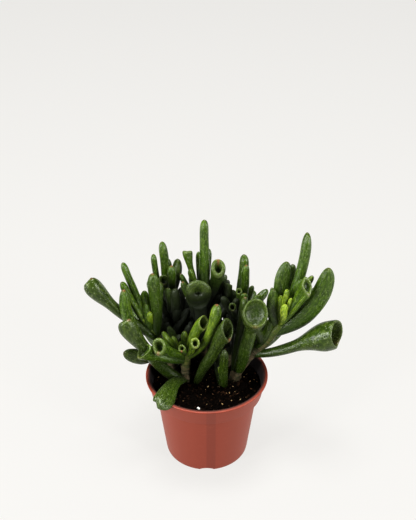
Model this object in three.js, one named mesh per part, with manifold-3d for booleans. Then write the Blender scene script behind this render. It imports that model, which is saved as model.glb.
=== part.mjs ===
// A potted trumpet jade: a small succulent with tubular, trumpet-ended leaves in a plastic pot.
// Millimetres, +Z up. The origin is the centre of the circle that the pot stands on.
// The camera side of the plant is -Y, and +X is to the right.
import * as THREE from 'three';
import { mergeVertices } from 'three/addons/utils/BufferGeometryUtils.js';
import Module from 'manifold-3d';

const wasm = await Module();
wasm.setup();

// Driving dimensions of the pot
const POT_HEIGHT = 67;
const RIM_RADIUS = 45;
const FOOT_RADIUS = 31.2;
const SHOULDER_RADIUS = 37.6;
const BAND_LOW_RADIUS = 41.2;
const BAND_HIGH_RADIUS = 43.4;
const BAND_HEIGHT = 13.6;
const LIP_THICKNESS = 1.4;
const WALL = 1.2;
const POT_SIDES = 36;
const FLOOR_RECESS = 2.8;
const PAD_RADIUS = 7;
const NOTCH_COUNT = 4;
const NOTCH_WIDTH = 11.3;
const NOTCH_HEIGHT = 2.0;
const DRAIN_COUNT = 8;
const DRAIN_RADIUS = 2.8;
const DRAIN_CIRCLE = 20;
const CUT_SIDES = 36;
const CUT_LENGTH = 8;

// Driving dimensions of the soil
const SOIL_TOP = 57;
const SOIL_RELIEF = 0.9;
const SOIL_SIDES = 30;
const CLEARANCE = 0.5;
const HOLE_CLEARANCE = 0.8;
const HOLE_BOTTOM = 46;
const HOLE_SIDES = 14;
const DRILL_LENGTH = 20;

// Facets round each leaf, by its width
const BIG_LEAF = 7;
const SIDES_BIG = 8;
const SIDES_SMALL = 6;
const STEM_RINGS = 6;
const STEM_CAP_LOW = 0.001;
const STEM_CAP_HIGH = 0.971;

// Corners nearer than this are one corner
const MERGE_DISTANCE = 1e-5;

const UP = new THREE.Vector3(0, 0, 1);
const TOWARDS_CAMERA = new THREE.Vector3(0, -1, 0);

function vector([x, y, z]) {
  return new THREE.Vector3(x, y, z);
}

// The geometry with positions alone and its doubled corners joined
function merged(geometry) {
  geometry.deleteAttribute('normal');
  geometry.deleteAttribute('uv');
  return mergeVertices(geometry, MERGE_DISTANCE);
}

function solidOf(geometry) {
  return solidFromMerged(merged(geometry));
}

function solidFromMerged(geometry) {
  const corners = geometry.index.array;
  const triangles = [];
  for (let i = 0; i < corners.length; i += 3) {
    const [a, b, c] = [corners[i], corners[i + 1], corners[i + 2]];
    if (a !== b && b !== c && c !== a) triangles.push(a, b, c);
  }
  const mesh = new wasm.Mesh({
    numProp: 3,
    vertProperties: new Float32Array(geometry.attributes.position.array),
    triVerts: new Uint32Array(triangles),
  });
  return new wasm.Manifold(mesh);
}

function geometryOf(solid) {
  const mesh = solid.getMesh();
  const geometry = new THREE.BufferGeometry();
  geometry.setAttribute('position', new THREE.BufferAttribute(mesh.vertProperties, 3));
  geometry.setIndex(new THREE.BufferAttribute(mesh.triVerts, 1));
  geometry.computeVertexNormals();
  return geometry;
}

function union(solids) {
  return wasm.Manifold.union(solids);
}

// A solid of revolution about Z, from its outline as [radius, height] corners
function turned(outline, sides) {
  const points = outline.map(([radius, height]) => new THREE.Vector2(radius, height));
  const lathe = new THREE.LatheGeometry(points, sides);
  return lathe.rotateX(Math.PI / 2);
}

// Pot

const BAND_BOTTOM = POT_HEIGHT - BAND_HEIGHT;
const FLOOR_TOP = FLOOR_RECESS + WALL;

// A centre pad and the foot ring stand on the surface, with the floor raised between them. The
// wall goes up to a ledge, the band stands out over it, and the lip closes it.
function potOutline() {
  const lipBottom = POT_HEIGHT - LIP_THICKNESS;
  return [
    [0, 0],
    [PAD_RADIUS - 0.4, 0],
    [PAD_RADIUS, 0.4],
    [PAD_RADIUS + 0.3, FLOOR_RECESS],
    [FOOT_RADIUS - 2.1, FLOOR_RECESS],
    [FOOT_RADIUS - 1.8, 0.3],
    [FOOT_RADIUS - 1.4, 0],
    [FOOT_RADIUS - 0.8, 0],
    [FOOT_RADIUS - 0.1, 0.5],
    [FOOT_RADIUS + 0.2, FLOOR_RECESS],
    [SHOULDER_RADIUS, BAND_BOTTOM - 0.8],
    [SHOULDER_RADIUS + 0.6, BAND_BOTTOM - 0.1],
    [BAND_LOW_RADIUS - 0.4, BAND_BOTTOM],
    [BAND_LOW_RADIUS, BAND_BOTTOM + 0.5],
    [BAND_HIGH_RADIUS, lipBottom - 0.3],
    [RIM_RADIUS - 0.3, lipBottom],
    [RIM_RADIUS, lipBottom + 0.4],
    [RIM_RADIUS, POT_HEIGHT - 0.4],
    [RIM_RADIUS - 0.4, POT_HEIGHT],
    [BAND_HIGH_RADIUS - WALL + 0.4, POT_HEIGHT],
    [BAND_HIGH_RADIUS - WALL, POT_HEIGHT - 0.6],
    [BAND_LOW_RADIUS - WALL, BAND_BOTTOM + WALL + 0.3],
    [SHOULDER_RADIUS + 0.2 - WALL, BAND_BOTTOM + WALL - 0.4],
    [SHOULDER_RADIUS - WALL, BAND_BOTTOM - 1.4],
    [FOOT_RADIUS + 0.4 - WALL, FLOOR_TOP + 1],
    [FOOT_RADIUS - 0.2 - WALL, FLOOR_TOP],
    [0, FLOOR_TOP],
  ];
}

// One shallow arch across the foot ring, cut by a lying half-round bar
function notchCutter(index) {
  const radius = (NOTCH_WIDTH ** 2 / 4 + NOTCH_HEIGHT ** 2) / (2 * NOTCH_HEIGHT);
  const bar = new THREE.CylinderGeometry(radius, radius, CUT_LENGTH, CUT_SIDES);
  bar.rotateZ(Math.PI / 2);
  bar.translate(FOOT_RADIUS, 0, NOTCH_HEIGHT - radius);
  bar.rotateZ((index / NOTCH_COUNT) * 2 * Math.PI - Math.PI / 2);
  return solidOf(bar);
}

function drainCutter(index) {
  const drill = new THREE.CylinderGeometry(DRAIN_RADIUS, DRAIN_RADIUS, CUT_LENGTH, HOLE_SIDES);
  drill.rotateX(Math.PI / 2);
  drill.translate(DRAIN_CIRCLE, 0, (FLOOR_RECESS + FLOOR_TOP) / 2);
  drill.rotateZ(((index + 0.5) / DRAIN_COUNT) * 2 * Math.PI);
  return solidOf(drill);
}

function makePot() {
  const cutters = [];
  for (let i = 0; i < NOTCH_COUNT; i += 1) cutters.push(notchCutter(i));
  for (let i = 0; i < DRAIN_COUNT; i += 1) cutters.push(drainCutter(i));
  return solidOf(turned(potOutline(), POT_SIDES)).subtract(union(cutters));
}

// Leaves and stems: a turned form whose rings are set along a bent line

// Rings of a finger leaf as [place along the leaf, share of its half width]
const FINGER = [
  [0, 0], [0.03, 0.55], [0.25, 0.8], [0.5, 1], [0.75, 0.97], [0.92, 0.74], [0.985, 0.38], [1, 0],
];
const SMALL_FINGER = [[0, 0], [0.05, 0.6], [0.4, 0.95], [0.78, 1], [0.955, 0.6], [1, 0]];
const FORWARD = [-90, 0];

// at is the share of the stem's length where the leaf starts. bend is how far the middle of the
// leaf stands off its straight line. look is where its broad side or its mouth faces: degrees
// round from +X towards +Y, then degrees of lift. thick and tall are depth over width, of the
// body and of the mouth. club is the width low down over the width near the end, and roll turns
// the leaf about its own length, in degrees.
function finger(at, tip, width, { bend = [0, 0, -2], thick = 0.9, club = 1 } = {}) {
  return { at, tip, width, bend, thick, club, roll: 0 };
}

function spoon(at, tip, width, { bend = [0, 0, -2], thick = 0.55, look = FORWARD } = {}) {
  return { at, tip, width, bend, thick, look, club: 1, roll: 0 };
}

function trumpet(at, tip, width, mouth, look, options = {}) {
  const { bend = [0, 0, -2], thick = 0.95, tall = 1, flare = 0.62, roll = 0 } = options;
  return { at, tip, width, mouth, look, bend, thick, tall, flare, roll };
}

function fingerOutline({ width, club }) {
  const rings = width < BIG_LEAF ? SMALL_FINGER : FINGER;
  return rings.map(([along, share]) => {
    const clubbed = THREE.MathUtils.lerp(club, 1, THREE.MathUtils.smoothstep(along, 0.35, 0.85));
    return [share * clubbed * width / 2, along];
  });
}

// The wall swells into the mouth, turns over the lip and closes as a shallow cup
function trumpetOutline({ width, mouth, flare }) {
  const outline = [[0, 0]];
  for (const along of [0.03, 0.25, 0.5, 0.68, 0.8, 0.9, 0.97]) {
    const body = (0.58 + 0.42 * THREE.MathUtils.smoothstep(along, 0, 0.55)) * width / 2;
    const swell = THREE.MathUtils.smoothstep(along, flare, 0.96);
    outline.push([THREE.MathUtils.lerp(body, mouth / 2, swell), along]);
  }
  outline.push([mouth * 0.44, 1], [mouth * 0.3, 0.965], [0, 0.925]);
  return outline;
}

function leafLine(root, tip, bend) {
  const middle = root.clone().add(tip).multiplyScalar(0.5).add(bend.clone().multiplyScalar(2));
  return new THREE.QuadraticBezierCurve3(root, middle, tip);
}

function facing([heading, lift]) {
  const turn = THREE.MathUtils.degToRad(heading);
  const rise = THREE.MathUtils.degToRad(lift);
  const flat = Math.cos(rise);
  return new THREE.Vector3(Math.cos(turn) * flat, Math.sin(turn) * flat, Math.sin(rise));
}

// Moves the rings of a lathe whose axis is Y, from 0 to 1, onto a line. place gives the centre,
// the direction of the ring's axis and its depth over its width.
function setOnLine(lathe, side, place) {
  const skin = merged(lathe);
  const spots = skin.attributes.position;
  for (let i = 0; i < spots.count; i += 1) {
    const { centre, axis, depth } = place(spots.getY(i));
    const across = side.clone().addScaledVector(axis, -side.dot(axis)).normalize();
    const over = axis.clone().cross(across);
    centre.addScaledVector(across, spots.getX(i));
    centre.addScaledVector(over, -spots.getZ(i) * depth);
    spots.setXYZ(i, centre.x, centre.y, centre.z);
  }
  return solidFromMerged(skin);
}

function makeLeaf(leaf, stemLine) {
  const root = stemLine.getPoint(leaf.at);
  const tip = vector(leaf.tip);
  const line = leafLine(root, tip, vector(leaf.bend));
  const lean = tip.clone().sub(root).setZ(0);
  const look = leaf.look ? facing(leaf.look) : lean;
  const chord = tip.clone().sub(root).normalize();
  const upright = leaf.mouth || !leaf.look ? UP : chord;
  const side = upright.clone().cross(look).normalize();
  side.applyAxisAngle(chord, THREE.MathUtils.degToRad(leaf.roll));
  const outline = leaf.mouth ? trumpetOutline(leaf) : fingerOutline(leaf);
  const sides = leaf.width < BIG_LEAF ? SIDES_SMALL : SIDES_BIG;
  const points = outline.map(([radius, along]) => new THREE.Vector2(radius, along));
  const lathe = new THREE.LatheGeometry(points, sides);
  return setOnLine(lathe, side, (along) => {
    const axis = line.getTangent(along);
    if (!leaf.mouth) return { centre: line.getPoint(along), axis, depth: leaf.thick };
    const turnedBy = THREE.MathUtils.smoothstep(along, 0.5, 1);
    axis.lerp(look, turnedBy).normalize();
    const depth = THREE.MathUtils.lerp(leaf.thick, leaf.tall, turnedBy);
    return { centre: line.getPoint(along), axis, depth };
  });
}

function stemLineOf(points) {
  return new THREE.CatmullRomCurve3(points.map(vector), false, 'centripetal');
}

function makeStem(stemLine, lowRadius, highRadius) {
  const outline = [new THREE.Vector2(0, 0)];
  for (let i = 0; i <= STEM_RINGS; i += 1) {
    const share = i / STEM_RINGS;
    const radius = THREE.MathUtils.lerp(lowRadius, highRadius, share);
    const along = THREE.MathUtils.lerp(STEM_CAP_LOW, STEM_CAP_HIGH, share);
    outline.push(new THREE.Vector2(radius, along));
  }
  outline.push(new THREE.Vector2(0, 1));
  const lathe = new THREE.LatheGeometry(outline, SIDES_BIG);
  return setOnLine(lathe, TOWARDS_CAMERA, (along) => (
    { centre: stemLine.getPoint(along), axis: stemLine.getTangent(along), depth: 1 }
  ));
}

// The shoots. A stem is its line and its radius low and high; its leaves follow.
const SHOOTS = {
  front_left_shoot: {
    stem: [[-15.6, 6, 47], [-15.6, 6, 58], [-15.6, 6, 68], [-14.5, 4, 84]],
    radii: [4.4, 3.4],
    leaves: [
      trumpet(0.42, [-34, -43, 71], 10, 15, [-112, -12],
        { bend: [1, -1, 5], thick: 0.6, tall: 0.4, roll: -36 }),
      finger(0.86, [7, -6, 131], 9, { bend: [4, -2.5, -6.5] }),
      trumpet(0.80, [-46, -14, 95], 6.5, 8.4, [-150, 40], { tall: 0.6 }),
      trumpet(0.84, [-34, -14, 101], 6.5, 9, [-110, 20], { bend: [-1, 0, -1], tall: 1.3 }),
      trumpet(0.90, [-8, -10, 101], 5, 7, [-80, 20], { tall: 1.25 }),
      finger(0.92, [-16, 2, 103], 5.4),
      trumpet(0.95, [-18, -8, 95], 4, 5, [-90, 20]),
      trumpet(0.90, [-3, -4, 110], 7.4, 8.8, [-60, 20], { tall: 1.35 }),
      finger(0.92, [-25, 4, 97], 4.8),
      finger(0.88, [-32, 4, 101], 5.6),
      spoon(0.88, [-28, 11, 101], 6),
      finger(0.97, [-20, 5, 93], 4),
      trumpet(0.45, [-58, -12, 121], 12, 12.4, [150, 35], { bend: [-3, -1, -4] }),
      trumpet(0.40, [15, -9, 112.5], 9.6, 12.6, [-35, 15], { bend: [-1.5, 0, -4], tall: 1.4 }),
    ],
  },
  left_shoot: {
    stem: [[-24, 13, 47], [-24, 13, 58], [-31, 13, 78], [-43, 12, 101]],
    radii: [4.2, 3],
    leaves: [
      finger(0.84, [-83.5, 1, 145], 15, { bend: [-1, 0, -1], club: 0.66 }),
      finger(0.97, [-59, 14, 153], 6.2),
      finger(0.90, [-58, 2, 139], 9.2),
      finger(0.93, [-60, 9, 140], 6.4),
      spoon(0.72, [-61, 3, 83], 13, { bend: [-1, 0, -3], thick: 0.6 }),
      finger(0.97, [-41, 9, 115], 5.6),
      finger(0.97, [-45, 15, 129], 6),
      finger(0.94, [-43, 12, 122], 7.2),
      finger(0.97, [-41, 18, 123], 5),
      finger(0.86, [-38, 9, 147], 8.6, { bend: [1.5, 0, 0] }),
      finger(0.90, [-33, 15, 136], 6),
      finger(0.95, [-52, 22, 124], 6),
      trumpet(0.80, [-62, 36, 104], 7.4, 10.5, [140, 20]),
      finger(0.66, [-52, 44, 84], 7.6),
    ],
  },
  back_left_shoot: {
    stem: [[-17, 22, 47], [-17, 22, 58], [-22, 26, 85], [-28, 27, 110]],
    radii: [4, 3],
    leaves: [
      finger(0.93, [-32, 29, 160], 6.8, { bend: [0, 0, 0] }),
      finger(0.95, [-29, 36, 144], 6),
      finger(0.92, [-38, 26, 153], 5.6),
      finger(0.95, [-25, 18, 148], 7.6),
      finger(0.97, [-21, 35, 144], 8),
      trumpet(0.97, [-31, 20, 135], 6.2, 8.4, [-90, 10]),
      spoon(0.88, [-28, 14, 132], 7.4, { bend: [0, -2, -2] }),
      finger(0.80, [-22, 16, 115], 6.6, { bend: [1, -2, -2] }),
      finger(0.86, [-35, 24, 112], 6.6),
      finger(0.88, [-44, 40, 122], 7),
      trumpet(0.80, [-38, 57, 106], 7.2, 10.4, [110, 25]),
      finger(0.74, [-22, 60, 98], 8.4, { bend: [0, 3, -5] }),
      finger(0.92, [-30, 44, 126], 6),
      finger(0.60, [-14, 36, 110], 8),
      finger(0.56, [-31, 26, 98], 8),
    ],
  },
  centre_shoot: {
    stem: [[-3, 20, 47], [-3, 20, 58], [-3, 22, 85], [-3, 24, 114]],
    radii: [4.2, 3.2],
    leaves: [
      finger(0.93, [-1.5, 25, 181], 7.4, { bend: [0, 0, 0] }),
      trumpet(0.95, [-14, 29, 153], 4.4, 7, [-70, 60], { tall: 0.8, flare: 0.75 }),
      finger(0.95, [-12, 18, 145], 5.2),
      finger(0.95, [1, 33, 154], 6.4),
      finger(0.95, [-6, 35, 150], 4.4),
      finger(0.90, [-19, 22, 139], 4.8),
      trumpet(0.50, [-6, 6, 134], 9.6, 19, [-85, 20], { bend: [0, -1, -2], tall: 1.08 }),
      finger(0.70, [-17, 11, 139], 6.4),
      trumpet(0.86, [8, 20, 146], 8.6, 9.6, [-85, 30], { bend: [1, 0, -2], tall: 1.2 }),
      finger(0.84, [14, 29, 134], 6),
      finger(0.80, [10, 24, 122], 6.8),
      finger(0.74, [4, 15, 106], 6.4, { bend: [1, -1, -2] }),
      finger(0.66, [-12, 14, 103], 6.6, { bend: [-1, -1, -2] }),
      trumpet(0.72, [-4, 58, 110], 8.4, 12.6, [95, 25], { bend: [0, 3, -5] }),
      finger(0.80, [-12, 46, 124], 6.8, { bend: [0, 2, -3] }),
      finger(0.62, [8, 57, 92], 8, { bend: [0, 4, -4] }),
      finger(0.56, [-13, 27, 106], 8),
      finger(0.60, [13, 20, 117], 8),
      finger(0.42, [-10, 9, 92], 7.6, { bend: [-1, -2, -3] }),
      finger(0.55, [8, 31, 110], 8),
    ],
  },
  back_right_shoot: {
    stem: [[15, 23, 47], [15, 23, 58], [19, 25, 85], [26, 26, 108]],
    radii: [4, 3],
    leaves: [
      finger(0.95, [27, 29, 151], 7.2, { bend: [0, 0, 0] }),
      finger(0.95, [28, 19, 148], 6.2, { bend: [1, 0, 0] }),
      trumpet(0.90, [23, 13, 130], 4, 5, [-90, 20]),
      trumpet(0.80, [18.5, 9, 119], 4.6, 5.8, [-90, 20], { tall: 1.2 }),
      finger(0.86, [27, 13, 128], 5.6),
      finger(0.95, [34, 30, 124], 5.4),
      finger(0.88, [19, 24, 124], 6.4),
      trumpet(0.84, [15.5, 23, 130], 6.6, 7, [60, 50]),
      finger(0.72, [26, 17, 103], 7, { bend: [1, -1, -2] }),
      finger(0.78, [14, 17, 101], 6.6, { bend: [-1, -1, -2] }),
      finger(0.84, [40, 24, 112], 7),
      finger(0.86, [46, 44, 112], 7.2),
      trumpet(0.76, [34, 60, 100], 7.6, 11, [70, 25], { bend: [0, 2, -4] }),
      finger(0.66, [20, 58, 90], 8.2, { bend: [0, 4, -4] }),
      finger(0.90, [26, 46, 120], 6.4),
      finger(0.52, [16, 38, 100], 8),
      finger(0.60, [13, 29, 116], 7.6),
    ],
  },
  right_shoot: {
    stem: [[22, 6, 47], [22, 6, 62], [31, 8, 76], [42, 8, 88], [54, 6, 108]],
    radii: [5, 3.2],
    leaves: [
      trumpet(0.28, [34, -8, 125], 12.2, 17, [-88, 20], { bend: [2, 0, 0], tall: 1.12, flare: 0.7 }),
      finger(0.20, [27.5, 8, 128], 7.8, { bend: [-1, 2, 0] }),
      trumpet(0.55, [89, -9, 107], 9, 19, [-45, 0], { bend: [1, 0, -5], tall: 1.05, flare: 0.45 }),
      spoon(0.88, [83, 0, 156], 13.6, { bend: [6, 0, -5] }),
      finger(0.97, [69, 12, 178], 8.6, { bend: [3.5, 0, 2] }),
      spoon(0.97, [56, 12, 155], 10.4, { bend: [-1, 0, 0] }),
      finger(0.97, [61, 17, 150], 7, { bend: [1, 0, 0] }),
      trumpet(0.96, [70, -5, 146], 9, 9.2, [-75, 30], { bend: [2, -1, 0], tall: 1.2 }),
      spoon(0.97, [67, 3, 146], 8.4),
      finger(0.97, [74, 6, 147], 5),
      spoon(0.93, [47, 2, 138], 8, { bend: [-2, 0, 0] }),
      finger(0.95, [46, 8, 136], 5.6),
      finger(0.97, [55, -3, 129], 5.8),
      finger(0.97, [52, 4, 132], 5),
      finger(0.98, [56, 1, 139], 5),
      spoon(0.97, [68, -7, 139], 4.6, { look: [-30, 0], thick: 0.7 }),
      finger(0.98, [59, -1, 133], 3.6),
      finger(0.60, [46, 7, 110], 7.4, { bend: [2, 0, 0] }),
      spoon(0.60, [37, 13, 127], 10, { bend: [0, 0, -2] }),
      finger(0.56, [42, 13, 112], 7),
      finger(0.72, [64, 26, 112], 8),
      finger(0.64, [60, 30, 92], 7.6, { bend: [0, 2, -4] }),
      finger(0.90, [72, 20, 132], 7),
      trumpet(0.82, [82, 24, 122], 7.6, 11.4, [35, 25]),
    ],
  },
  small_sprout: {
    stem: [[12, 0, 47], [12, 0, 56], [11.5, 0.5, 64]],
    radii: [3.2, 2.6],
    leaves: [
      finger(0.85, [12, -5, 92], 7.4, { bend: [1, -1, 0] }),
      finger(0.85, [7, 4, 87], 7.2, { bend: [-1, 1, 0] }),
      finger(0.85, [4, -1, 78], 5.6),
    ],
  },
};

function makeShoot({ stem, radii, leaves }) {
  const line = stemLineOf(stem);
  const parts = [makeStem(line, radii[0], radii[1])];
  for (const leaf of leaves) parts.push(makeLeaf(leaf, line));
  return union(parts);
}

// Soil: a plug that fills the pot, with an uneven top and a plain hole for each stem

function soilRelief(x, y) {
  const broad = Math.sin(x * 0.23 + 1.1) * Math.cos(y * 0.19 - 0.4);
  const fine = Math.sin(x * 0.61 - y * 0.47) * 0.5;
  return SOIL_RELIEF * (broad + fine);
}

function makeSoil() {
  const shoulder = SHOULDER_RADIUS - WALL - CLEARANCE;
  const ledge = BAND_BOTTOM + WALL + CLEARANCE;
  const edge = BAND_LOW_RADIUS - WALL - CLEARANCE;
  const outline = [
    [0, FLOOR_TOP + CLEARANCE], [FOOT_RADIUS - WALL - CLEARANCE - 0.4, FLOOR_TOP + CLEARANCE],
    [shoulder, BAND_BOTTOM - 1.4], [shoulder, ledge - 0.2], [edge - 0.2, ledge + 0.5],
    [edge, SOIL_TOP - 0.4],
  ];
  for (const radius of [34, 27, 20, 12.5, 5.5, 0]) outline.push([radius, SOIL_TOP]);
  const plug = merged(turned(outline, SOIL_SIDES));
  const spots = plug.attributes.position;
  for (let i = 0; i < spots.count; i += 1) {
    const height = spots.getZ(i);
    if (height < SOIL_TOP - 0.1) continue;
    spots.setZ(i, height + soilRelief(spots.getX(i), spots.getY(i)));
  }
  const holes = Object.values(SHOOTS).map(({ stem, radii }) => {
    const radius = radii[0] + HOLE_CLEARANCE;
    const drill = new THREE.CylinderGeometry(radius, radius, DRILL_LENGTH, HOLE_SIDES);
    drill.rotateX(Math.PI / 2);
    drill.translate(stem[0][0], stem[0][1], HOLE_BOTTOM + DRILL_LENGTH / 2);
    return solidOf(drill);
  });
  return solidFromMerged(plug).subtract(union(holes));
}

// The assembly

const potPlastic = new THREE.MeshStandardMaterial({ color: 0xb0563f, roughness: 0.5 });
const pottingSoil = new THREE.MeshStandardMaterial({ color: 0x241a14, roughness: 1 });
const leafGreen = new THREE.MeshStandardMaterial({ color: 0x3f6b35, roughness: 0.35 });

const plant = new THREE.Group();

function add(name, solid, material) {
  const mesh = new THREE.Mesh(geometryOf(solid), material);
  mesh.name = name;
  plant.add(mesh);
}

add('pot', makePot(), potPlastic);
add('soil', makeSoil(), pottingSoil);
for (const [name, shoot] of Object.entries(SHOOTS)) add(name, makeShoot(shoot), leafGreen);

export default plant;
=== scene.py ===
import math
import random
from bisect import bisect
from dataclasses import dataclass

import bmesh
import bpy
from bpy.props import FloatProperty, FloatVectorProperty, IntProperty, PointerProperty
from mathutils import Matrix, Quaternion, Vector, noise
from mathutils.geometry import interpolate_bezier


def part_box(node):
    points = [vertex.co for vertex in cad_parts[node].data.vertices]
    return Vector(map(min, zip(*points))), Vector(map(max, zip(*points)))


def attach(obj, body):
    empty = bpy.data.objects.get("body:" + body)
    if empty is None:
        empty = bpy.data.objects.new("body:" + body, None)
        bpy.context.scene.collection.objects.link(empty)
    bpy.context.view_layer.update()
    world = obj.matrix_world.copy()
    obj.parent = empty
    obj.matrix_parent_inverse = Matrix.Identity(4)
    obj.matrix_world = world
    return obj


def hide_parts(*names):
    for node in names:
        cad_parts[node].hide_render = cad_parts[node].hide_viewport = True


bl_info = {
    "name": "Potted trumpet jade",
    "version": (1, 0, 0),
    "blender": (4, 5, 0),
    "location": "3D View > Sidebar > Trumpet jade",
    "description": "Builds a small succulent with trumpet-ended leaves in a plastic nursery pot",
    "category": "Object",
}

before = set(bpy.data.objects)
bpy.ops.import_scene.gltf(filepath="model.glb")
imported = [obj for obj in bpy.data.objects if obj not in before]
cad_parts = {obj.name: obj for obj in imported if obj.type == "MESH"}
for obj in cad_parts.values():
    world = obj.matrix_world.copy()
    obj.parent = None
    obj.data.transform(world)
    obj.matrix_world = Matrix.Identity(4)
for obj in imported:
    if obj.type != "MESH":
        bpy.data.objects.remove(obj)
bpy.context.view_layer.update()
MM = 0.001
UP = Vector((0, 0, 1))

# The pot's sizes that the frame gives, in millimetres
POT_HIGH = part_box("pot")[1] / MM
RIM_RADIUS = POT_HIGH.x
POT_HEIGHT = POT_HIGH.z


# Settings

COLOUR = {"subtype": "COLOR", "size": 3, "min": 0, "max": 1}


class PotSettings(bpy.types.PropertyGroup):
    foot_radius: FloatProperty(
        name="Foot radius", description="Outer radius of the foot ring, in millimetres", default=31.2,
        min=10)
    shoulder_radius: FloatProperty(
        name="Shoulder radius", description="Outer radius of the wall under the band, in millimetres",
        default=37.6, min=10)
    band_height: FloatProperty(
        name="Band height", description="Height of the rim's band, in millimetres", default=13.6, min=2)
    wall: FloatProperty(
        name="Wall", description="Thickness of the plastic, in millimetres", default=1.2, min=0.5)
    steps: IntProperty(name="Steps", description="Faces round the pot", default=160, min=24)
    colour: FloatVectorProperty(
        name="Plastic", description="Colour of the plastic", default=(0.222, 0.042, 0.019), **COLOUR)
    # The stain inside the wall is partly soil and partly painted shade
    stain_and_shade: FloatVectorProperty(
        name="Stain", description="Colour of the soil's stain inside the wall",
        default=(0.005, 0.0015, 0.001), **COLOUR)


class SoilSettings(bpy.types.PropertyGroup):
    top: FloatProperty(
        name="Top", description="Height of the soil's surface, in millimetres", default=57, min=10)
    relief: FloatProperty(
        name="Relief", description="Height of the soil's broad waves, in millimetres", default=0.9, min=0)
    steps: IntProperty(name="Steps", description="Faces round the soil", default=150, min=24)
    crumbs: IntProperty(name="Crumbs", description="Number of loose crumbs of peat", default=1100, min=0)
    colour: FloatVectorProperty(
        name="Peat", description="Colour of the damp peat", default=(0.0015, 0.0009, 0.0006), **COLOUR)


class LeafSettings(bpy.types.PropertyGroup):
    sides: IntProperty(
        name="Sides", description="Corners round a leaf before it is smoothed", default=16, min=8)
    smoothing: IntProperty(
        name="Smoothing", description="Subdivision level of the leaves", default=1, min=0, max=2)
    unevenness: FloatProperty(
        name="Unevenness", description="Swell and shrink of a leaf's skin over its radius", default=0.05,
        min=0, max=0.3)
    young: FloatVectorProperty(
        name="Young leaf", description="Colour of the newest leaves", default=(0.18, 0.26, 0.018), **COLOUR)
    grown: FloatVectorProperty(
        name="Grown leaf", description="Colour of grown leaves", default=(0.046, 0.090, 0.004), **COLOUR)
    old: FloatVectorProperty(
        name="Old leaf", description="Colour of the oldest leaves", default=(0.034, 0.058, 0.006), **COLOUR)
    dots: FloatVectorProperty(
        name="Dots", description="Colour of the skin's pale dots", default=(0.26, 0.30, 0.17), **COLOUR)
    rim: FloatVectorProperty(
        name="Rim", description="Colour of the rolled lips", default=(0.14, 0.165, 0.055), **COLOUR)
    blush: FloatVectorProperty(
        name="Blush", description="Colour of sunned tips and lips", default=(0.22, 0.085, 0.05), **COLOUR)
    bark: FloatVectorProperty(
        name="Bark", description="Colour of the stems", default=(0.115, 0.085, 0.045), **COLOUR)


class StageSettings(bpy.types.PropertyGroup):
    distance: FloatProperty(
        name="Camera distance", description="From the camera to its target", default=0.55, unit="LENGTH")
    elevation: FloatProperty(
        name="Camera elevation", description="Height of the camera over its target",
        default=math.radians(30), subtype="ANGLE")
    lens: FloatProperty(name="Lens", description="Focal length, in millimetres", default=56, min=10)
    floor: FloatVectorProperty(
        name="Floor", description="Colour of the floor", default=(0.044, 0.0435, 0.0425), **COLOUR)
    glow: FloatProperty(
        name="Glow", description="Light that the floor gives off by itself", default=18.8, min=0)
    surroundings: FloatProperty(
        name="Surroundings", description="Brightness of the room round the object", default=0.12, min=0)
    contrast: FloatProperty(
        name="Contrast", description="Gamma of the picture: lower is deeper", default=0.8, min=0.4, max=2)


# Materials

class Socket:
    """The output of a node. Arithmetic on it adds Math nodes to its material."""

    def __init__(self, paint, output):
        self.paint = paint
        self.output = output

    def __add__(self, other):
        return self.paint.maths("ADD", self, other)

    def __sub__(self, other):
        return self.paint.maths("SUBTRACT", self, other)

    def __rsub__(self, other):
        return self.paint.maths("SUBTRACT", other, self)

    def __mul__(self, other):
        return self.paint.maths("MULTIPLY", self, other)

    __radd__ = __add__


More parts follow.
